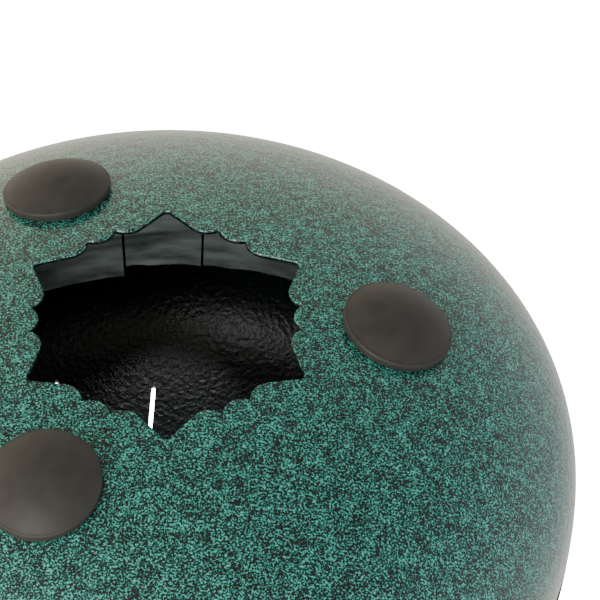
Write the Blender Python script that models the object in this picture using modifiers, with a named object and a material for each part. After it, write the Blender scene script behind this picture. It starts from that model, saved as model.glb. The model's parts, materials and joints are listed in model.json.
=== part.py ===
# A ten-inch steel tongue drum that stands on three rubber feet.
# Two pressed domes meet at a weld. The upper one has the eight tongues, the lower one the sound port.
# Frame: metres, +Z up, origin on the floor below the drum's centre, tongues up.

import math

import bmesh
import bpy
from mathutils import Matrix, Vector

MM = 0.001

# Pressed steel domes. Their side view is a superellipse with these two exponents.
SHELL_RADIUS = 127.0 * MM
DOME_DEPTH = 75.8 * MM
DOME_FLATNESS = 2.24
SHOULDER_FULLNESS = 2.8
SHEET = 1.6 * MM
SHELL_SIDES = 60
DOME_STEPS = 11
RIM_LAND = 3.0 * MM

# Weld between the two rims, and the black tape that covers it inside
WELD_HEIGHT = 1.0 * MM
WELD_CROWN = 0.4 * MM
TAPE_WIDTH = 60.0 * MM
TAPE_THICKNESS = 0.4 * MM
TAPE_RISE_LEFT = 1.5 * MM
TAPE_RISE_RIGHT = -2.0 * MM
TAPE_END_GAP = 0.8 * MM
TAPE_STEPS = 4
TAPE_SIDE_DEGREES = 6.0
PATCH_START_DEGREES = 82.3
PATCH_END_DEGREES = 95.4
TAPE_MEETING_DEGREES = 270.0

# Sound port: six rounded tips, and three scallops of metal between each two tips
PORT_TIPS = 6
PORT_TIP_RADIUS = 45.5 * MM
PORT_TIP_ROUND = 1.4 * MM
PORT_THROAT_RADIUS = 37.3 * MM
SCALLOP_RADIUS = 6.1 * MM
SCALLOP_PITCH_DEGREES = 13.6
PORT_TURN_DEGREES = 30.0
PORT_ARC_STEPS = 6

# Tongues: wide, low ones alternate with narrow, high ones. Lengths follow the notes of a scale.
SLOT_WIDTH = 1.5 * MM
SLOT_END_STEPS = 6
TONGUE_TIP_STEPS = 10
TONGUE_TURN_DEGREES = 11.25
TONGUE_TAPER_DEGREES = 5.3
LONGEST_TONGUE = 60.0 * MM
WIDE_SEMITONES = (0, 4, 2, 7)
NARROW_SEMITONES = (9, 14, 12, 16)
WIDE_ROOT_FROM_CENTRE = 87.5 * MM
WIDE_ROOT_WIDTH = 47.4 * MM
NARROW_ROOT_FROM_CENTRE = 97.0 * MM
NARROW_ROOT_WIDTH = 32.0 * MM

# Self-adhesive rubber feet, square to the dome under each of them
FOOT_COUNT = 3
FOOT_RING_RADIUS = 67.7 * MM
FOOT_RADIUS = 16.8 * MM
FOOT_HEIGHT = 7.5 * MM
FOOT_SIDE = 1.9 * MM
FOOT_EDGE_ROUND = 0.4 * MM
FOOT_FLAT_DEPTH = 0.2 * MM
FOOT_TURN_DEGREES = 60.0
FOOT_SIDES = 28
FOOT_CROWN_STEPS = 5
PAD_INSET = 1.2 * MM
PAD_THICKNESS = 0.6 * MM
PAD_SIDES = 20

# Clearance between faces that touch on the real drum
TOUCH = 0.3 * MM

TEAL_PAINT = (0.075, 0.190, 0.175, 1.0)
BLACK_PAINT = (0.008, 0.012, 0.014, 1.0)
BLACK_RUBBER = (0.040, 0.038, 0.036, 1.0)
BLACK_TAPE = (0.020, 0.024, 0.023, 1.0)
CLEAR_GUM = (0.30, 0.29, 0.25, 1.0)


def clear_scene():
    for thing in list(bpy.data.objects):
        bpy.data.objects.remove(thing, do_unlink=True)


def make_collection(name):
    collection = bpy.data.collections.new(name)
    bpy.context.scene.collection.children.link(collection)
    return collection


def make_material(name, colour, roughness, metallic):
    material = bpy.data.materials.new(name)
    material.use_nodes = True
    shader = material.node_tree.nodes["Principled BSDF"]
    shader.inputs["Base Color"].default_value = colour
    shader.inputs["Roughness"].default_value = roughness
    shader.inputs["Metallic"].default_value = metallic
    return material


def add_object(name, mesh, collection, materials=()):
    thing = bpy.data.objects.new(name, mesh)
    collection.objects.link(thing)
    for material in materials:
        mesh.materials.append(material)
    return thing


def mesh_from_line(name, points, closed):
    """A chain of edges in the XZ plane, for the Screw modifier to turn."""
    shape = bmesh.new()
    verts = [shape.verts.new((x, 0.0, z)) for x, z in points]
    for first, second in zip(verts, verts[1:]):
        shape.edges.new((first, second))
    if closed:
        shape.edges.new((verts[-1], verts[0]))
    mesh = bpy.data.meshes.new(name)
    shape.to_mesh(mesh)
    shape.free()
    return mesh


def turn(thing, sides, angle=2 * math.pi):
    """Spins the profile about Z and welds the seam and the pole."""
    screw = thing.modifiers.new("Turn", "SCREW")
    screw.axis = "Z"
    screw.angle = angle
    screw.steps = sides
    screw.render_steps = sides
    screw.use_merge_vertices = True
    screw.merge_threshold = 0.00001
    screw.use_smooth_shade = True
    return screw


def thicken(thing, thickness, inner_slot=0):
    """Gives an open surface its wall, on the side away from its normals."""
    wall = thing.modifiers.new("Wall", "SOLIDIFY")
    wall.thickness = thickness
    wall.offset = -1.0
    wall.use_even_offset = True
    wall.use_quality_normals = True
    wall.material_offset = inner_slot
    return wall


def cut(thing, cutter, operation="DIFFERENCE"):
    boolean = thing.modifiers.new("Cut", "BOOLEAN")
    boolean.operation = operation
    boolean.solver = "EXACT"
    boolean.object = cutter


def make_cutter(thing):
    thing.hide_render = True
    thing.display_type = "WIRE"


def arc(centre, radius, start, end, steps):
    """Points along an arc, both ends included."""
    points = []
    for step in range(steps + 1):
        angle = start + (end - start) * step / steps
        points.append((centre[0] + radius * math.cos(angle), centre[1] + radius * math.sin(angle)))
    return points


def dome_normal(radius, height):
    """Outward normal of the upper dome, as its parts away from and along the axis."""
    away = DOME_FLATNESS / SHELL_RADIUS * (radius / SHELL_RADIUS) ** (DOME_FLATNESS - 1)
    along = SHOULDER_FULLNESS / DOME_DEPTH * (height / DOME_DEPTH) ** (SHOULDER_FULLNESS - 1)
    length = math.hypot(away, along)
    return away / length, along / length


def dome_height(radius):
    """Height of the upper dome's outside above the weld, at a distance from the axis."""
    fullness = 1 - (radius / SHELL_RADIUS) ** DOME_FLATNESS
    return DOME_DEPTH * fullness ** (1 / SHOULDER_FULLNESS)


def dome_radius(height):
    """Distance of the dome's outside from the axis, at a height above the weld."""
    fullness = 1 - (abs(height) / DOME_DEPTH) ** SHOULDER_FULLNESS
    return SHELL_RADIUS * fullness ** (1 / DOME_FLATNESS)


def dome_profile(lowest):
    """The dome's side view from the pole down to a height above the weld."""
    last = math.acos((RIM_LAND / DOME_DEPTH) ** (SHOULDER_FULLNESS / 2))
    points = []
    for step in range(DOME_STEPS + 1):
        angle = last * step / DOME_STEPS
        radius = SHELL_RADIUS * math.sin(angle) ** (2 / DOME_FLATNESS)
        height = DOME_DEPTH * math.cos(angle) ** (2 / SHOULDER_FULLNESS)
        points.append((radius, height))
    points.append((dome_radius(lowest), lowest))
    return points


def weld_height():
    """Height of the weld above the floor, with the feet's flats on the floor."""
    crown = foot_crown_radius()
    away, along = dome_normal(FOOT_RING_RADIUS, dome_height(FOOT_RING_RADIUS))
    centre_below_weld = dome_height(FOOT_RING_RADIUS) - along * (crown - FOOT_HEIGHT)
    return centre_below_weld + crown - FOOT_FLAT_DEPTH


def foot_crown_radius():
    """Radius of the sphere that a foot's crown is part of."""
    rise = FOOT_HEIGHT - FOOT_SIDE
    return (FOOT_RADIUS ** 2 + rise ** 2) / (2 * rise)


def rim_above_weld():
    return WELD_HEIGHT / 2 + TOUCH


def outline_object(name, outline, low, high, collection):
    """A closed flat outline, pulled up from one height to another."""
    curve = bpy.data.curves.new(name, "CURVE")
    curve.dimensions = "2D"
    curve.fill_mode = "BOTH"
    curve.extrude = (high - low) / 2
    spline = curve.splines.new("POLY")
    spline.points.add(len(outline) - 1)
    for point, (x, y) in zip(spline.points, outline):
        point.co = (x, y, 0.0, 1.0)
    spline.use_cyclic_u = True
    drawn = bpy.data.objects.new(name + "_outline", curve)
    drawn.location.z = (low + high) / 2
    collection.objects.link(drawn)
    bpy.context.view_layer.update()
    evaluated = drawn.evaluated_get(bpy.context.evaluated_depsgraph_get())
    mesh = bpy.data.meshes.new_from_object(evaluated)
    shape = bmesh.new()
    shape.from_mesh(mesh)
    bmesh.ops.remove_doubles(shape, verts=shape.verts, dist=0.000001)
    bmesh.ops.recalc_face_normals(shape, faces=shape.faces)
    shape.to_mesh(mesh)
    shape.free()
    solid = add_object(name, mesh, collection)
    solid.matrix_world = drawn.matrix_world.copy()
    bpy.data.objects.remove(drawn)
    return solid


def port_outline():
    """The port's edge seen from above: rounded tips, straight flanks and scallops."""
    scallop_centre = PORT_THROAT_RADIUS + SCALLOP_RADIUS
    pitch = math.radians(SCALLOP_PITCH_DEGREES)
    side_middle = math.pi / PORT_TIPS

    # One tip points along +X, and its scallops lie on circles that cross in sharp cusps
    tip = Vector((PORT_TIP_RADIUS - PORT_TIP_ROUND, 0.0))
    near = scallop_centre * Vector((math.cos(side_middle - pitch), math.sin(side_middle - pitch)))
    across = near - tip
    lean = math.asin((PORT_TIP_ROUND + SCALLOP_RADIUS) / across.length)
    flank = math.atan2(across.y, across.x) + lean
    half_gap = scallop_centre * math.sin(pitch / 2)
    cusp_reach = math.asin(half_gap / SCALLOP_RADIUS)

    outline = []
    for number in range(PORT_TIPS):
        turned = math.radians(PORT_TURN_DEGREES) + number * 2 * math.pi / PORT_TIPS
        points = arc(tip, PORT_TIP_ROUND, math.pi / 2 - flank, flank - math.pi / 2, PORT_ARC_STEPS)
        for count in (-1, 0, 1):
            facing = side_middle + count * pitch
            centre = scallop_centre * Vector((math.cos(facing), math.sin(facing)))
            start = facing + math.pi + cusp_reach
            end = facing + math.pi - cusp_reach
            if count == -1:
                start = flank + math.pi / 2
            if count == 1:
                end = 2 * side_middle - flank - math.pi / 2 + 2 * math.pi
            swing = arc(centre, SCALLOP_RADIUS, start, end, PORT_ARC_STEPS)
            points += swing if count == -1 else swing[1:]
        for x, y in points:
            spun = Matrix.Rotation(turned, 2) @ Vector((x, y))
            outline.append((spun.x, spun.y))
    return outline


def slot_outline(root, root_width, length, axis_angle):
    """A U-shaped slot round one tongue: open at the root, round at the tip and at both ends."""
    taper = math.radians(TONGUE_TAPER_DEGREES)
    half_root = root_width / 2
    tip_round = (half_root - length * math.tan(taper)) * math.cos(taper) / (1 - math.sin(taper))
    centre = (root - length + tip_round, 0.0)
    half_slot = SLOT_WIDTH / 2
    right_end = (root, -half_root)
    left_end = (root, half_root)
    quarter = math.pi / 2

    # Outer line round the tip, the left end, the inner line back, and the right end
    outline = arc(right_end, half_slot, taper - quarter + math.pi, taper - quarter, SLOT_END_STEPS)
    outline += arc(centre, tip_round + half_slot, 3 * quarter + taper, quarter - taper, TONGUE_TIP_STEPS)
    outline += arc(left_end, half_slot, quarter - taper, -quarter - taper, SLOT_END_STEPS)
    outline += arc(centre, tip_round - half_slot, quarter - taper, 3 * quarter + taper, TONGUE_TIP_STEPS)
    spin = Matrix.Rotation(axis_angle, 2)
    return [tuple(spin @ Vector(point)) for point in outline]


def make_shell(name, upper, collection, materials):
    """One dome, open at its rim. The lower dome is the upper one's mirror image."""
    points = dome_profile(rim_above_weld())
    middle = weld_height()
    if upper:
        points = [(radius, middle + height) for radius, height in points]
    else:
        points = [(radius, middle - height) for radius, height in reversed(points)]
    thing = add_object(name, mesh_from_line(name, points, False), collection, materials)
    turn(thing, SHELL_SIDES)
    thicken(thing, SHEET, inner_slot=1)
    return thing


def make_top_shell(collection, cutters, materials):
    shell = make_shell("top_shell", True, collection, materials)
    low = weld_height() + rim_above_weld()
    high = weld_height() + DOME_DEPTH + SHEET
    families = (
        (WIDE_SEMITONES, WIDE_ROOT_FROM_CENTRE, WIDE_ROOT_WIDTH, 0.0),
        (NARROW_SEMITONES, NARROW_ROOT_FROM_CENTRE, NARROW_ROOT_WIDTH, 0.5),
    )
    for semitones, root, root_width, shift in families:
        for number, semitone in enumerate(semitones):
            length = LONGEST_TONGUE * 2 ** (-semitone / 24)
            angle = math.radians(TONGUE_TURN_DEGREES) + (number + shift) * 2 * math.pi / len(semitones)
            outline = slot_outline(root, root_width, length, angle)
            slot = outline_object("slot_cutter", outline, low, high, cutters)
            make_cutter(slot)
            cut(shell, slot)
    return shell


def make_bottom_shell(collection, cutters, materials):
    shell = make_shell("bottom_shell", False, collection, materials)
    low = weld_height() - DOME_DEPTH - SHEET
    port = outline_object("port_cutter", port_outline(), low, weld_height(), cutters)
    make_cutter(port)
    cut(shell, port)
    return shell


def make_seam_weld(collection, material):
    """The ring of weld metal between the two rims, ground flush outside and crowned inside."""
    middle = weld_height()
    half = WELD_HEIGHT / 2
    inner = SHELL_RADIUS - SHEET
    points = [
        (SHELL_RADIUS, middle + half),
        (SHELL_RADIUS, middle - half),
        (inner, middle - half),
        (inner - WELD_CROWN, middle),
        (inner, middle + half),
    ]
    thing = add_object("seam_weld", mesh_from_line("seam_weld", points, True), collection, [material])
    turn(thing, SHELL_SIDES)
    return thing


def tape_profile(rise):
    """The tape's outer face, from its top edge to its bottom edge, just inside the sheet."""
    depth = SHEET + WELD_CROWN + TOUCH
    points = []
    for step in range(TAPE_STEPS + 1):
        height = rise + TAPE_WIDTH * (0.5 - step / TAPE_STEPS)
        radius = dome_radius(height)
        away, along = dome_normal(radius, abs(height))
        side = math.copysign(1.0, height)
        points.append((radius - depth * away, weld_height() + height - depth * along * side))
    return points


def make_tape(name, start, end, rise, collection, material):
    """A strip of tape from one bearing to another, in degrees, anticlockwise from +X."""
    points = tape_profile(rise)
    thing = add_object(name, mesh_from_line(name, points, False), collection, [material])
    gap = math.degrees(TAPE_END_GAP / SHELL_RADIUS)
    span = end - start - gap
    turn(thing, max(2, round(span / TAPE_SIDE_DEGREES)), math.radians(span))
    thicken(thing, TAPE_THICKNESS)
    thing.rotation_euler.z = math.radians(start + gap / 2)
    return thing


def foot_seat(number):
    """Where a foot sits on the lower dome: a frame with +Z out of the sheet."""
    bearing = math.radians(FOOT_TURN_DEGREES) + number * 2 * math.pi / FOOT_COUNT
    height = dome_height(FOOT_RING_RADIUS)
    away, along = dome_normal(FOOT_RING_RADIUS, height)
    place = Vector((FOOT_RING_RADIUS, 0.0, weld_height() - height))
    lean = math.pi - math.atan2(away, along)
    seat = Matrix.Translation(place) @ Matrix.Rotation(lean, 4, "Y")
    return Matrix.Rotation(bearing, 4, "Z") @ seat


def dome_block(name, offset, cutters):
    """A solid of the lower dome's outside, grown by an offset, that shapes what sits on it."""
    reach = FOOT_RING_RADIUS + 2 * FOOT_RADIUS
    points = []
    for step in range(DOME_STEPS + 1):
        radius = reach * (1 - step / DOME_STEPS)
        height = dome_height(radius)
        away, along = dome_normal(radius, height)
        points.append((radius + offset * away, weld_height() - height - offset * along))
    points[-1] = (0.0, weld_height() - DOME_DEPTH - offset)
    top = weld_height() - dome_height(reach) + 2 * FOOT_RADIUS
    points = [(0.0, top), (points[0][0], top)] + points
    thing = add_object(name, mesh_from_line(name, points, False), cutters)
    turn(thing, SHELL_SIDES)
    make_cutter(thing)
    return thing


def make_foot(number, collection, material, seat_block, floor_block):
    """A low rubber dome with a short side, shaped to the sheet and flat where it meets the floor."""
    crown = foot_crown_radius()
    centre = (0.0, FOOT_HEIGHT - crown)
    edge_angle = math.asin((FOOT_SIDE - centre[1]) / crown)
    crown_arc = arc(centre, crown, math.pi / 2, edge_angle + FOOT_EDGE_ROUND / crown, FOOT_CROWN_STEPS)
    points = crown_arc + [(FOOT_RADIUS, FOOT_SIDE - FOOT_EDGE_ROUND)]
    points += [(FOOT_RADIUS, -FOOT_SIDE), (0.0, -FOOT_SIDE)]
    name = "foot_%d" % (number + 1)
    thing = add_object(name, mesh_from_line(name, points, False), collection, [material])
    turn(thing, FOOT_SIDES)
    thing.matrix_world = foot_seat(number)
    cut(thing, seat_block)
    cut(thing, floor_block)
    return thing


def make_foot_pad(number, collection, material, seat_block, foot_block):
    """The disc of double-sided gum between the sheet and a foot."""
    name = "foot_pad_%d" % (number + 1)
    reach = 2 * FOOT_SIDE
    radius = FOOT_RADIUS - PAD_INSET
    points = [(0.0, reach), (radius, reach), (radius, -reach), (0.0, -reach)]
    thing = add_object(name, mesh_from_line(name, points, False), collection, [material])
    turn(thing, PAD_SIDES)
    thing.matrix_world = foot_seat(number)
    cut(thing, seat_block)
    cut(thing, foot_block, "INTERSECT")
    return thing


def make_floor_block(cutters):
    """Everything below the floor, which the feet flatten against."""
    mesh = bpy.data.meshes.new("floor_cutter")
    shape = bmesh.new()
    bmesh.ops.create_cube(shape, size=1.0)
    side = 4 * SHELL_RADIUS
    depth = 4 * FOOT_HEIGHT
    bmesh.ops.scale(shape, vec=(side, side, depth), verts=shape.verts)
    bmesh.ops.translate(shape, vec=(0.0, 0.0, -depth / 2), verts=shape.verts)
    shape.to_mesh(mesh)
    shape.free()
    thing = add_object("floor_cutter", mesh, cutters)
    make_cutter(thing)
    return thing


def build():
    clear_scene()
    parts = make_collection("tongue_drum")
    cutters = make_collection("cutters")
    teal = make_material("teal_hammer_paint", TEAL_PAINT, 0.32, 0.35)
    black = make_material("black_inside_paint", BLACK_PAINT, 0.35, 0.0)
    rubber = make_material("black_rubber", BLACK_RUBBER, 0.75, 0.0)
    tape = make_material("black_tape", BLACK_TAPE, 0.30, 0.0)
    gum = make_material("clear_gum", CLEAR_GUM, 0.50, 0.0)

    make_top_shell(parts, cutters, [teal, black])
    make_bottom_shell(parts, cutters, [teal, black])
    make_seam_weld(parts, black)

    whole_turn = 360.0
    left_start = TAPE_MEETING_DEGREES - whole_turn
    make_tape("seam_tape_left", left_start, PATCH_START_DEGREES, TAPE_RISE_LEFT, parts, tape)
    make_tape("seam_tape_patch", PATCH_START_DEGREES, PATCH_END_DEGREES, TAPE_RISE_RIGHT, parts, tape)
    make_tape("seam_tape_right", PATCH_END_DEGREES, TAPE_MEETING_DEGREES, TAPE_RISE_RIGHT, parts, tape)

    pad_under = dome_block("pad_seat_cutter", TOUCH, cutters)
    pad_over = dome_block("pad_top_cutter", TOUCH + PAD_THICKNESS, cutters)
    foot_under = dome_block("foot_seat_cutter", 2 * TOUCH + PAD_THICKNESS, cutters)
    floor = make_floor_block(cutters)
    for number in range(FOOT_COUNT):
        make_foot_pad(number, parts, gum, pad_under, pad_over)
        make_foot(number, parts, rubber, foot_under, floor)


build()
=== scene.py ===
# The looks of a ten-inch steel tongue drum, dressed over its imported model.
# The drum was photographed lying on its tongues, so the camera here looks up at its underside.

import json
import math

import bpy
from mathutils import Matrix, Vector, noise

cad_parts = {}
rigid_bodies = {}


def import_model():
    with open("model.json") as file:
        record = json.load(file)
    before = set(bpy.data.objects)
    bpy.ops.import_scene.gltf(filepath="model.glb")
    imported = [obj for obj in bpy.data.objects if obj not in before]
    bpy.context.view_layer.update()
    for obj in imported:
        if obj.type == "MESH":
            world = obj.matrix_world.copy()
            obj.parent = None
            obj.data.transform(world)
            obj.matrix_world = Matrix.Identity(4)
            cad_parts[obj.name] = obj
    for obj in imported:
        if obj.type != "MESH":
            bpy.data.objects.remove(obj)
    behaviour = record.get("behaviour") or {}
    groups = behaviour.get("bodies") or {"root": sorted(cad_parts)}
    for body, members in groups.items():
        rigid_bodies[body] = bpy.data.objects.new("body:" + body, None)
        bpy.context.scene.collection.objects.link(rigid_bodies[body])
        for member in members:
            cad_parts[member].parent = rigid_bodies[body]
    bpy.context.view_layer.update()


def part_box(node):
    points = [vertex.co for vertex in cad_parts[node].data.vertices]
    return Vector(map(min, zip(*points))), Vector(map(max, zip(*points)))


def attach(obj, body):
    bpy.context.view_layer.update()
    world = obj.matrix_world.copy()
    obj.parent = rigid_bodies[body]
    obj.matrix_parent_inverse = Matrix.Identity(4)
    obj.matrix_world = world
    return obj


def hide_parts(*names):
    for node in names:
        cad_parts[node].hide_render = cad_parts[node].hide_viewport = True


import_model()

MM = 0.001

# The drum's own sizes, as its model has them
RADIUS = 127.0 * MM
DEPTH = 75.8 * MM
FLATNESS = 2.24
FULLNESS = 2.8
SHEET = 1.6 * MM
SEAM_HALF = 0.5 * MM
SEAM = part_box("top_shell")[0][2] - 0.8 * MM
POLE = SEAM - DEPTH
RIM_GAP = 0.55 * MM
MERGE = 0.002 * MM

# Steps round the axis and along the wall, and how many of them the lower wall's two edges take
TOP_GRID = (180, 97)
BOTTOM_GRID = (720, 96)
EDGE_LOOPS = 8
WELD_GRID = (240, 12)
FOOT_GRID = (96, 40)

PORT_TIPS = 6
PORT_TIP_RADIUS = 45.5 * MM
PORT_TIP_ROUND = 1.4 * MM
PORT_THROAT = 37.3 * MM
SCALLOP = 6.1 * MM
SCALLOP_PITCH = math.radians(13.6)
PORT_TURN = math.radians(30.0)
EDGE_ROUND = 0.45 * MM
PORT_CROWDING = 1.35

SLOT_WIDTH = 1.5 * MM
SLOT_END_STEPS = 10
SLOT_TIP_STEPS = 36
TONGUE_TURN = math.radians(11.25)
TONGUE_TAPER = math.radians(5.3)
LONGEST_TONGUE = 60.0 * MM
# Notes in semitones above the lowest, the root's distance from the axis, width, turn in steps
WIDE_TONGUES = ((0, 4, 2, 7), 87.5 * MM, 47.4 * MM, 0.0)
NARROW_TONGUES = ((9, 14, 12, 16), 97.0 * MM, 32.0 * MM, 0.5)

FOOT_RING = 67.7 * MM
FOOT_RADIUS = 16.8 * MM
FOOT_HEIGHT = 7.5 * MM
FOOT_SIDE = 1.9 * MM
FOOT_EDGE = 0.7 * MM
FOOT_TUCK = 0.25 * MM
FOOT_DROP = 0.1 * MM
FOOT_GAP = 0.25 * MM
FOOT_TURN = math.radians(60.0)
FOOT_COUNT = 3

TAPE_WIDTH = 60.0 * MM
TAPE_DEEP = 2.4 * MM
TAPE_THICK = 0.25 * MM
TAPE_RAGGED = 0.7 * MM
TAPE_LIFT = 0.8 * MM
TAPE_LIFT_RUN = 3 * MM
TAPE_FOLD = 0.35 * MM
TAPE_LOOPS = 48
# The node a strip stands for, its two ends in degrees, its rise over the seam, its seed
TAPES = (
    ("seam_tape_left", -89.8, 82.1, 1.5 * MM, 3),
    ("seam_tape_patch", 82.5, 95.2, -2.0 * MM, 8),
    ("seam_tape_right", 95.6, 269.8, -2.0 * MM, 14),
)

# The camera as fitted to the photograph, in drum radii and radians
CAMERA_RADII = 5.5356
CAMERA_ELEVATION = 0.8145
CAMERA_PAN = 0.0805
CAMERA_TILT = -0.0061
CAMERA_ROLL = 0.0426
FEET_TURN = 0.0138
LENS = 144.42
SENSOR = 36.0


def deselect():
    bpy.ops.object.select_all(action="DESELECT")


def colour(code):
    """An sRGB hex colour as linear values with full alpha."""
    parts = [int(code[at:at + 2], 16) / 255 for at in (0, 2, 4)]
    linear = [part / 12.92 if part <= 0.04045 else ((part + 0.055) / 1.055) ** 2.4 for part in parts]
    return (*linear, 1.0)


def node(tree, kind, settings=None, inputs=None, links=None):
    """Adds a node, sets its options and sockets, and links other sockets into it."""
    made = tree.nodes.new(kind)
    for name, value in (settings or {}).items():
        setattr(made, name, value)
    for name, value in (inputs or {}).items():
        made.inputs[name].default_value = value
    for name, source in (links or {}).items():
        tree.links.new(source, made.inputs[name])
    return made


def new_material(name, **sockets):
    material = bpy.data.materials.new(name)
    material.use_nodes = True
    tree = material.node_tree
    shader = tree.nodes["Principled BSDF"]
    for socket, value in sockets.items():
        shader.inputs[socket.replace("_", " ")].default_value = value
    place = node(tree, "ShaderNodeTexCoord").outputs["Object"]
    return material, tree, shader, place


def ramp(tree, factor, stops):
    made = node(tree, "ShaderNodeValToRGB", links={"Fac": factor})
    first, last = made.color_ramp.elements
    first.position, first.color = stops[0]
    last.position, last.color = stops[-1]
    for position, value in stops[1:-1]:
        made.color_ramp.elements.new(position).color = value
    return made.outputs["Color"]


def grain(tree, place, size, detail=2.0, roughness=0.5):
    """Noise whose blobs are about as wide as the size."""
    return node(tree, "ShaderNodeTexNoise", links={"Vector": place},
                inputs={"Scale": 1.0 / size, "Detail": detail, "Roughness": roughness}).outputs["Fac"]


def hammer_powder_coat():
    """Teal hammer-finish powder coat: bright specks in black, under a glossy skin with orange peel."""
    material, tree, shader, place = new_material(
        "teal_hammer_powder_coat", Roughness=0.45, Metallic=0.25, Coat_Weight=1.0, Coat_Roughness=0.16)
    specks = grain(tree, place, 0.55 * MM, 1.5, 0.6)
    clumps = grain(tree, place, 3.2 * MM, 2.0)
    mixed = node(tree, "ShaderNodeMath", {"operation": "MULTIPLY_ADD"},
                 inputs={1: 0.22}, links={0: clumps, 2: specks}).outputs[0]
    tint = ramp(tree, mixed, [
        (0.565, colour("121617")), (0.61, colour("163532")),
        (0.66, colour("268f85")), (0.76, colour("5fdccd"))])
    tree.links.new(tint, shader.inputs["Base Color"])
    peel = grain(tree, place, 2.6 * MM, 1.0)
    fine = grain(tree, place, 0.9 * MM, 1.0)
    swell = node(tree, "ShaderNodeBump", inputs={"Strength": 0.8, "Distance": 0.22 * MM},
                 links={"Height": peel}).outputs["Normal"]
    skin = node(tree, "ShaderNodeBump", inputs={"Strength": 0.35, "Distance": 0.04 * MM},
                links={"Height": fine, "Normal": swell}).outputs["Normal"]
    tree.links.new(skin, shader.inputs["Normal"])
    tree.links.new(skin, shader.inputs["Coat Normal"])
    return material


def hammered_black_paint():
    """Black paint over the inside of the pressed sheet, coarse and hammered, with a dust of teal specks."""
    material, tree, shader, place = new_material("black_hammered_paint", Roughness=0.30)
    specks = grain(tree, place, 0.9 * MM, 2.0)
    tint = ramp(tree, specks, [
        (0.50, colour("0b0f11")), (0.58, colour("101a1b")), (0.70, colour("255650"))])
    tree.links.new(tint, shader.inputs["Base Color"])
    dents = grain(tree, place, 1.9 * MM, 2.0)
    bump = node(tree, "ShaderNodeBump", inputs={"Strength": 0.8, "Distance": 0.30 * MM},
                links={"Height": dents}).outputs["Normal"]
    tree.links.new(bump, shader.inputs["Normal"])
    return material


def moulded_rubber():
    """Moulded black rubber: matte dark grey, with a fine tooth and faint clouds of dust."""
    material, tree, shader, place = new_material("moulded_black_rubber", Roughness=0.55)
    dust = grain(tree, place, 5.0 * MM, 4.0)
    tint = ramp(tree, dust, [(0.35, colour("383735")), (0.70, colour("403f3c"))])
    tree.links.new(tint, shader.inputs["Base Color"])
    tooth = grain(tree, place, 0.5 * MM, 2.0)
    bump = node(tree, "ShaderNodeBump", inputs={"Strength": 0.35, "Distance": 0.06 * MM},
                links={"Height": tooth}).outputs["Normal"]
    tree.links.new(bump, shader.inputs["Normal"])
    return material


def vinyl_tape():
    """Black vinyl tape: half glossy, with grey highlight streaks painted into its colour along its length,
    and wrinkled.
    """
    material, tree, shader, place = new_material("black_vinyl_tape", Roughness=0.33)
    streaks = node(tree, "ShaderNodeMapping", inputs={"Scale": (60.0, 60.0, 260.0)},
                   links={"Vector": place}).outputs["Vector"]
    painted_highlight_streaks = node(tree, "ShaderNodeTexNoise", inputs={"Scale": 1.0, "Detail": 4.0},
               links={"Vector": streaks}).outputs["Fac"]
    # The grey in these streaks is a painted highlight: sheen painted into the black tape's colour.
    tint = ramp(tree, painted_highlight_streaks, [(0.3, colour("2c3232")), (0.75, colour("6b7371"))])
    tree.links.new(tint, shader.inputs["Base Color"])
    wrinkle = grain(tree, place, 4.0 * MM, 3.0)
    bump = node(tree, "ShaderNodeBump", inputs={"Strength": 0.6, "Distance": 0.25 * MM},
                links={"Height": wrinkle}).outputs["Normal"]
    tree.links.new(bump, shader.inputs["Normal"])
    return material


def clear_gum():
    """Clear double-sided gum, yellowish and half matte."""
    material, tree, shader, place = new_material("clear_gum", Roughness=0.5)
    tint = ramp(tree, grain(tree, place, 2.0 * MM), [(0.3, colour("8c8878")), (0.7, colour("a39e8c"))])
    tree.links.new(tint, shader.inputs["Base Color"])
    return material


def dome_height(radius):
    """How far the dome stands off the seam, at a radius from its axis."""
    return DEPTH * max(0.0, 1 - (radius / RADIUS) ** FLATNESS) ** (1 / FULLNESS)


def dome_radius(height):
    return RADIUS * (1 - (abs(height) / DEPTH) ** FULLNESS) ** (1 / FLATNESS)


def dome_normal(radius, height):
    """Outward normal of the upper dome, away from the axis and along it."""
    away = FLATNESS / RADIUS * (radius / RADIUS) ** (FLATNESS - 1)
    along = FULLNESS / DEPTH * (height / DEPTH) ** (FULLNESS - 1)
    return Vector((away, along)).normalized()


def grid_piece(name, across, along, place, closed_across=False, closed_along=False):
    """A grid primitive whose points are placed by a rule of two shares, with its seams merged."""
    deselect()
    bpy.ops.mesh.primitive_grid_add(x_subdivisions=across, y_subdivisions=along, size=1.0)
    piece = bpy.context.object
    piece.name = piece.data.name = name
    for vert in piece.data.vertices:
        u = round((vert.co.x + 0.5) * across) / across
        v = round((vert.co.y + 0.5) * along) / along
        vert.co = place(u % 1.0 if closed_across else u, v % 1.0 if closed_along else v)
    bpy.ops.object.mode_set(mode="EDIT")
    bpy.ops.mesh.select_all(action="SELECT")
    bpy.ops.mesh.remove_doubles(threshold=MERGE)
    face_outwards()
    return piece


def face_outwards():
    """Turns the faces of the piece in edit mode to the outside and leaves edit mode."""
    bpy.ops.mesh.select_all(action="SELECT")
    bpy.ops.mesh.normals_make_consistent(inside=False)
    bpy.ops.object.mode_set(mode="OBJECT")


def round_axis(radius, bearing, height):
    return Vector((radius * math.cos(bearing), radius * math.sin(bearing), height))


def take_up(piece):
    deselect()
    piece.select_set(True)
    bpy.context.view_layer.objects.active = piece


def finish_piece(piece, materials, angle=30.0):
    for material in materials:
        piece.data.materials.append(material)
    take_up(piece)
    bpy.ops.object.shade_smooth_by_angle(angle=math.radians(angle))
    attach(piece, "root")


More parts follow.
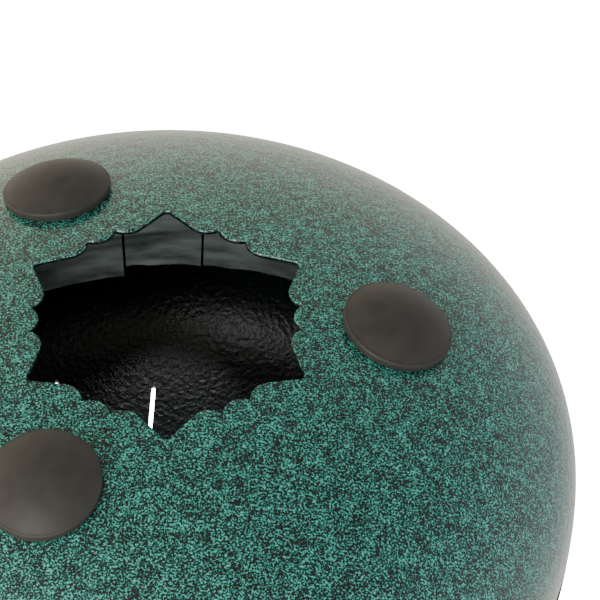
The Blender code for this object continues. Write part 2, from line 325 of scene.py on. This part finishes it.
def port_reach(bearing):
    """The port's radius at a bearing: rounded tips, straight flanks, and scallops that meet in cusps."""
    step = 2 * math.pi / PORT_TIPS
    side = step / 2
    turn = (bearing - PORT_TURN) % step
    turn = min(turn, step - turn)
    centre = PORT_THROAT + SCALLOP
    tip = Vector((PORT_TIP_RADIUS - PORT_TIP_ROUND, 0.0))
    near = centre * Vector((math.cos(side - SCALLOP_PITCH), math.sin(side - SCALLOP_PITCH)))
    across = near - tip
    flank = math.atan2(across.y, across.x) + math.asin((PORT_TIP_ROUND + SCALLOP) / across.length)
    normal = Vector((math.sin(flank), -math.cos(flank))) * (1 if flank > math.pi / 2 else -1)
    touch_tip = tip + PORT_TIP_ROUND * normal
    touch_scallop = near - SCALLOP * normal

    def circle(middle, reach, radius, outer):
        off = turn - middle
        root = math.sqrt(max(0.0, radius ** 2 - (reach * math.sin(off)) ** 2))
        return reach * math.cos(off) + (root if outer else -root)

    if turn < math.atan2(touch_tip.y, touch_tip.x):
        return circle(0.0, tip.x, PORT_TIP_ROUND, True)
    if turn < math.atan2(touch_scallop.y, touch_scallop.x):
        run = touch_scallop - touch_tip
        ray = Vector((math.cos(turn), math.sin(turn)))
        return (touch_tip.x * run.y - touch_tip.y * run.x) / (ray.x * run.y - ray.y * run.x)
    middle = side - SCALLOP_PITCH if turn < side - SCALLOP_PITCH / 2 else side
    return circle(middle, centre, SCALLOP, False)


def bottom_wall(u, v):
    """The lower dome as one closed wall: out from the port to the rim, and back inside."""
    bearing = u * 2 * math.pi
    port = port_reach(bearing)
    total = BOTTOM_GRID[1]
    at = v * total

    def skin(share, inset):
        eased = share ** PORT_CROWDING
        radius = port + EDGE_ROUND + (RADIUS - port - EDGE_ROUND) * math.sin(eased * math.pi / 2)
        height = dome_height(radius) if share < 1 else 0.0
        if share > 0.999 or height < RIM_GAP:
            radius, height = dome_radius(RIM_GAP), RIM_GAP
        normal = dome_normal(radius, height)
        return radius - inset * normal.x, SEAM - height + inset * normal.y

    edge = EDGE_LOOPS / 2
    half = total / 2 - edge
    if at <= half:
        radius, z = skin(at / half, 0.0)
    elif at < half + edge:
        radius, z = skin(1.0, SHEET * (at - half) / edge)
    elif at <= total - edge:
        radius, z = skin(1 - (at - half - edge) / half, SHEET)
    else:
        share = (at - (total - edge)) / edge
        start, end = skin(0.0, SHEET), skin(0.0, 0.0)
        bulge = EDGE_ROUND * math.sin(share * math.pi) ** 0.5
        radius = start[0] + (end[0] - start[0]) * share - bulge
        z = start[1] + (end[1] - start[1]) * share
    return round_axis(radius, bearing, z)


def paint_inside(piece, inner_slot):
    """Gives the faces of the shell's inner side the second material."""
    for face in piece.data.polygons:
        middle = face.center
        inwards = Vector((middle.x, middle.y, middle.z - SEAM)).dot(face.normal) < 0
        radius = math.hypot(middle.x, middle.y)
        inner = radius < RADIUS - SHEET / 2 or abs(middle.z - SEAM) < DEPTH
        face.material_index = inner_slot if inwards and inner else 0


def true_normals(piece):
    """Shades the dome's two skins by the dome's own curve, so that long facets don't show."""
    along_skin = 0.85
    mesh = piece.data
    normals = []
    corner_normals = [tuple(corner.vector) for corner in mesh.corner_normals]
    for face in mesh.polygons:
        for corner in face.loop_indices:
            co = mesh.vertices[mesh.loops[corner].vertex_index].co
            radius = math.hypot(co.x, co.y)
            height = co.z - SEAM
            slope = dome_normal(min(radius, RADIUS), min(abs(height), DEPTH))
            side = math.copysign(1.0, height)
            if radius > 1e-6:
                true = Vector((co.x / radius * slope.x, co.y / radius * slope.x, side * slope.y))
            else:
                true = Vector((0.0, 0.0, side))
            close = true.dot(face.normal)
            if abs(close) > along_skin:
                normals.append(tuple(true * math.copysign(1.0, close)))
            else:
                normals.append(corner_normals[corner])
    mesh.normals_split_custom_set(normals)


def arc(centre, radius, start, end, steps):
    turned = [start + (end - start) * step / steps for step in range(steps + 1)]
    return [(centre[0] + radius * math.cos(a), centre[1] + radius * math.sin(a)) for a in turned]


def slot_cutter(root, width, length, bearing):
    """A block in the shape of one U-shaped slot."""
    quarter = math.pi / 2
    half = width / 2
    tip = (half - length * math.tan(TONGUE_TAPER)) * math.cos(TONGUE_TAPER) / (1 - math.sin(TONGUE_TAPER))
    centre = (root - length + tip, 0.0)
    slim = SLOT_WIDTH / 2
    outline = arc((root, -half), slim, TONGUE_TAPER + quarter, TONGUE_TAPER - quarter, SLOT_END_STEPS)
    outline += arc(centre, tip + slim, 3 * quarter + TONGUE_TAPER, quarter - TONGUE_TAPER, SLOT_TIP_STEPS)
    outline += arc((root, half), slim, quarter - TONGUE_TAPER, -quarter - TONGUE_TAPER, SLOT_END_STEPS)
    outline += arc(centre, tip - slim, quarter - TONGUE_TAPER, 3 * quarter + TONGUE_TAPER, SLOT_TIP_STEPS)
    deselect()
    bpy.ops.mesh.primitive_circle_add(vertices=len(outline), fill_type="NGON")
    cutter = bpy.context.object
    spin = Matrix.Rotation(bearing, 2)
    start = SEAM + 5 * MM
    for vert, point in zip(cutter.data.vertices, outline):
        flat = spin @ Vector(point)
        vert.co = (flat.x, flat.y, start)
    bpy.ops.object.mode_set(mode="EDIT")
    bpy.ops.mesh.select_all(action="SELECT")
    bpy.ops.mesh.extrude_region_move(TRANSFORM_OT_translate={"value": (0, 0, DEPTH)})
    face_outwards()
    return cutter


def top_wall(u, v):
    """The upper dome as one wall: down from the pole to the rim, and back up inside."""
    out = v < 0.5
    share = v * 2 if out else (1 - v) * 2
    radius = RADIUS * math.sin(share * math.pi / 2) ** (2 / FLATNESS)
    height = DEPTH * math.cos(share * math.pi / 2) ** (2 / FULLNESS)
    if height < RIM_GAP:
        radius, height = dome_radius(RIM_GAP), RIM_GAP
    normal = dome_normal(radius, height)
    inset = 0.0 if out else SHEET
    return round_axis(radius - inset * normal.x, u * 2 * math.pi, SEAM + height - inset * normal.y)


def make_top_shell(outside, inside):
    """The upper dome with its tongues. A plate's note falls with the square of its length."""
    shell = grid_piece("tongue_dome", *TOP_GRID, top_wall, closed_across=True)
    for semitones, root, width, shift in (WIDE_TONGUES, NARROW_TONGUES):
        for number, semitone in enumerate(semitones):
            length = LONGEST_TONGUE * 2 ** (-semitone / 24)
            bearing = TONGUE_TURN + (number + shift) * 2 * math.pi / len(semitones)
            cutter = slot_cutter(root, width, length, bearing)
            cut = shell.modifiers.new("Slot", "BOOLEAN")
            cut.operation = "DIFFERENCE"
            cut.object = cutter
            take_up(shell)
            bpy.ops.object.modifier_apply(modifier=cut.name)
            bpy.data.objects.remove(cutter)
    finish_piece(shell, [outside, inside])
    paint_inside(shell, 1)
    true_normals(shell)
    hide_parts("top_shell")


def make_bottom_shell(outside, inside):
    shell = grid_piece("port_dome", *BOTTOM_GRID, bottom_wall, closed_across=True, closed_along=True)
    finish_piece(shell, [outside, inside], 50.0)
    paint_inside(shell, 1)
    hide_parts("bottom_shell")


def make_painted_seam(outside):
    """The ground weld under the paint, a hair below the two skins."""
    wide = SHEET / 2 - 0.05 * MM
    squareness = 0.4

    def squared(wave):
        return math.copysign(abs(wave) ** squareness, wave)

    def place(u, v):
        around = v * 2 * math.pi
        radius = RADIUS - SHEET / 2 + wide * squared(math.cos(around))
        return round_axis(radius, u * 2 * math.pi, SEAM + SEAM_HALF * squared(math.sin(around)))

    seam = grid_piece("painted_weld", *WELD_GRID, place, closed_across=True, closed_along=True)
    finish_piece(seam, [outside], 60.0)
    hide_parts("seam_weld")


def foot_seat(number):
    """The place on the dome, and the lean, of one foot."""
    bearing = FOOT_TURN + number * 2 * math.pi / FOOT_COUNT
    height = dome_height(FOOT_RING)
    away, along = dome_normal(FOOT_RING, height)
    place = Vector((FOOT_RING, 0.0, SEAM - height))
    lean = math.pi - math.atan2(away, along)
    return Matrix.Rotation(bearing, 4, "Z") @ Matrix.Translation(place) @ Matrix.Rotation(lean, 4, "Y")


def make_foot(number, rubber):
    """A rubber bumper: a round crown, a small rolled edge and a short side down to the sheet."""
    rise = FOOT_HEIGHT - FOOT_SIDE
    crown = (FOOT_RADIUS ** 2 + rise ** 2) / (2 * rise)
    lip = math.asin((FOOT_RADIUS - FOOT_EDGE) / crown)
    seat = foot_seat(number)
    crown_share, edge_share = 0.6, 0.2
    side_from = 0.8

    def place(u, v):
        side = max(0.0, (v - side_from) / (1 - side_from))
        if v < crown_share:
            lean = lip * v / crown_share
            radius, z = crown * math.sin(lean), FOOT_HEIGHT - crown + crown * math.cos(lean)
        elif v < side_from:
            share = (v - crown_share) / edge_share
            start = FOOT_HEIGHT - crown + crown * math.cos(lip)
            radius = FOOT_RADIUS - FOOT_EDGE + FOOT_EDGE * math.sin(share * math.pi / 2)
            z = start - FOOT_EDGE * (1 - math.cos(share * math.pi / 2)) - FOOT_DROP * share
        else:
            radius = FOOT_RADIUS - FOOT_TUCK * side
            z = (FOOT_SIDE - FOOT_EDGE) * (1 - side)
        point = seat @ round_axis(radius, u * 2 * math.pi, z)
        sheet = SEAM - dome_height(math.hypot(point.x, point.y)) - FOOT_GAP
        point.z = max(point.z + (sheet - point.z) * side, 0.0)
        return point

    foot = grid_piece("rubber_foot_%d" % (number + 1), *FOOT_GRID, place, closed_across=True)
    bpy.ops.object.mode_set(mode="EDIT")
    bpy.ops.mesh.select_all(action="DESELECT")
    bpy.ops.mesh.select_non_manifold()
    bpy.ops.mesh.fill()
    face_outwards()
    finish_piece(foot, [rubber], 40.0)
    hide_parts("foot_%d" % (number + 1))


def make_tape(name, start, end, rise, seed, vinyl):
    """A strip of tape pressed over the weld, with its edges and ends a little lifted and wrinkled."""
    low, high = math.radians(start), math.radians(end)
    across = max(24, round((end - start) * 2))

    def place(u, v):
        back = v > 0.5
        share = (1 - v) * 2 if back else v * 2
        bearing = low + (high - low) * u
        ragged = TAPE_RAGGED * noise.noise(Vector((bearing * 14, seed, 0.0)))
        height = rise + (TAPE_WIDTH + 2 * ragged) * (share - 0.5)
        radius = dome_radius(height)
        slope = dome_normal(radius, abs(height))
        side = math.copysign(1.0, height)
        end = min(u, 1 - u) * (high - low) * RADIUS
        curl = 0.5 + noise.noise(Vector((share * 6, seed, 2.0)))
        lift = TAPE_LIFT * math.exp(-end / TAPE_LIFT_RUN) * curl
        fold = TAPE_FOLD * noise.noise(Vector((bearing * 40, height * 120, seed)))
        inset = TAPE_DEEP + max(0.0, lift) + max(0.0, fold) + (0.0 if back else TAPE_THICK)
        return round_axis(radius - inset * slope.x, bearing, SEAM + height - inset * slope.y * side)

    tape = grid_piece(name + "_strip", across, TAPE_LOOPS, place)
    finish_piece(tape, [vinyl], 50.0)
    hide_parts(name)


def light(name, place, aim, power, size, lit=()):
    """A round soft lamp. One with a list of pieces to light leaves the others as they are."""
    data = bpy.data.lights.new(name, "AREA")
    data.energy = power
    data.shape = "DISK"
    data.size = size
    lamp = bpy.data.objects.new(name, data)
    if lit:
        receivers = bpy.data.collections.new(name + "_pieces")
        for piece in lit:
            receivers.objects.link(bpy.data.objects[piece])
        lamp.light_linking.receiver_collection = receivers
    bpy.context.scene.collection.objects.link(lamp)
    lamp.location = place
    lamp.rotation_euler = (Vector(aim) - Vector(place)).to_track_quat("-Z", "Y").to_euler()


def make_camera():
    """Set up as if the drum lay on its tongues, as photographed, and then turned over with it."""
    away = CAMERA_RADII * RADIUS
    place = away * Vector((0.0, -math.cos(CAMERA_ELEVATION), math.sin(CAMERA_ELEVATION)))
    down = CAMERA_ELEVATION + CAMERA_TILT
    level = math.cos(down)
    forward = Vector((math.sin(CAMERA_PAN) * level, math.cos(CAMERA_PAN) * level, -math.sin(down)))
    right = forward.cross(Vector((0, 0, 1))).normalized()
    up = right.cross(forward)
    axes = Matrix((right, up, -forward)).transposed().to_4x4()
    turned = Matrix.Translation(place) @ axes @ Matrix.Rotation(CAMERA_ROLL, 4, "Z")
    data = bpy.data.cameras.new("photo_camera")
    data.sensor_width = SENSOR
    data.lens = LENS
    data.clip_end = 50.0
    camera = bpy.data.objects.new("photo_camera", data)
    bpy.context.scene.collection.objects.link(camera)
    feet = Matrix.Rotation(-FEET_TURN, 4, "Z")
    over = Matrix.Translation((0, 0, POLE)) @ feet @ Matrix.Rotation(math.pi, 4, "Y")
    camera.matrix_world = over @ turned
    bpy.context.scene.camera = camera


def make_surround():
    """A white surround. The light from it is dimmer from below, and dimmer and cooler from one side."""
    world = bpy.data.worlds.new("white_surround")
    bpy.context.scene.world = world
    world.use_nodes = True
    tree = world.node_tree
    back = tree.nodes["Background"]
    where = node(tree, "ShaderNodeTexCoord").outputs["Generated"]
    axes = node(tree, "ShaderNodeSeparateXYZ", links={"Vector": where}).outputs
    rise = node(tree, "ShaderNodeMapRange", links={"Value": axes["Z"]},
                inputs={"From Min": -0.85, "From Max": -0.1, "To Min": 0.30, "To Max": 1.18}).outputs[0]
    side = node(tree, "ShaderNodeMapRange", links={"Value": axes["X"]},
                inputs={"From Min": -0.8, "From Max": 0.8, "To Min": 0.72, "To Max": 1.30}).outputs[0]
    power = node(tree, "ShaderNodeMath", {"operation": "MULTIPLY"}, links={0: rise, 1: side}).outputs[0]
    share = node(tree, "ShaderNodeMapRange", links={"Value": axes["X"]},
                 inputs={"From Min": -0.8, "From Max": 0.2}).outputs[0]
    warmth = ramp(tree, share, [(0.0, colour("f2f4f2")), (1.0, colour("fff3dc"))])
    tree.links.new(power, back.inputs["Strength"])
    tree.links.new(warmth, back.inputs["Color"])
    seen = node(tree, "ShaderNodeBackground", inputs={"Color": colour("ffffff"), "Strength": 22.0})
    path = node(tree, "ShaderNodeLightPath")
    both = node(tree, "ShaderNodeMixShader", links={0: path.outputs["Is Camera Ray"]})
    tree.links.new(back.outputs[0], both.inputs[1])
    tree.links.new(seen.outputs[0], both.inputs[2])
    tree.links.new(both.outputs[0], tree.nodes["World Output"].inputs["Surface"])


def make_floor():
    """A pale floor, drawn from its upper side only, because the camera looks up from below it."""
    deselect()
    bpy.ops.mesh.primitive_plane_add(size=8.0, location=(0, 0, 0))
    floor = bpy.context.object
    floor.name = "pale_floor"
    floor.visible_shadow = False
    floor.visible_diffuse = False
    floor.visible_glossy = False
    floor.visible_transmission = False
    material, tree, shader, _ = new_material("pale_floor", Roughness=0.8, Base_Color=colour("ececea"))
    under = node(tree, "ShaderNodeNewGeometry").outputs["Backfacing"]
    clear = node(tree, "ShaderNodeBsdfTransparent")
    shown = node(tree, "ShaderNodeMixShader", links={0: under})
    tree.links.new(shader.outputs[0], shown.inputs[1])
    tree.links.new(clear.outputs[0], shown.inputs[2])
    tree.links.new(shown.outputs[0], tree.nodes["Material Output"].inputs["Surface"])
    floor.data.materials.append(material)


def make_lamps():
    """Two soft lamps for the whole drum, and two that light its inside through the port."""
    tapes = [name + "_strip" for name, *_ in TAPES]
    light("overhead_soft", (0.3, -0.4, 1.4), (0, 0, 0.08), 9.0, 1.0)
    light("under_soft", (0.5, -0.9, -0.6), (0, 0, 0.02), 8.0, 0.8)
    light("through_port_low", (0.0, -0.96, -0.72), (0, 0.12, 0.09), 13.0, 0.3, tapes)
    light("through_port_high", (0.0, -0.35, -1.2), (0, 0.09, 0.15), 9.0, 0.4, ["tongue_dome"])


def dress_gum_pads(gum):
    for number in range(FOOT_COUNT):
        pad = bpy.data.objects["foot_pad_%d" % (number + 1)]
        pad.data.materials.clear()
        pad.data.materials.append(gum)


make_camera()
paint = hammer_powder_coat()
black = hammered_black_paint()
rubber = moulded_rubber()
vinyl = vinyl_tape()
make_top_shell(paint, black)
make_bottom_shell(paint, black)
make_painted_seam(paint)
for name, start, end, rise, seed in TAPES:
    make_tape(name, start, end, rise, seed, vinyl)
for number in range(FOOT_COUNT):
    make_foot(number, rubber)
dress_gum_pads(clear_gum())
make_surround()
make_floor()
make_lamps()
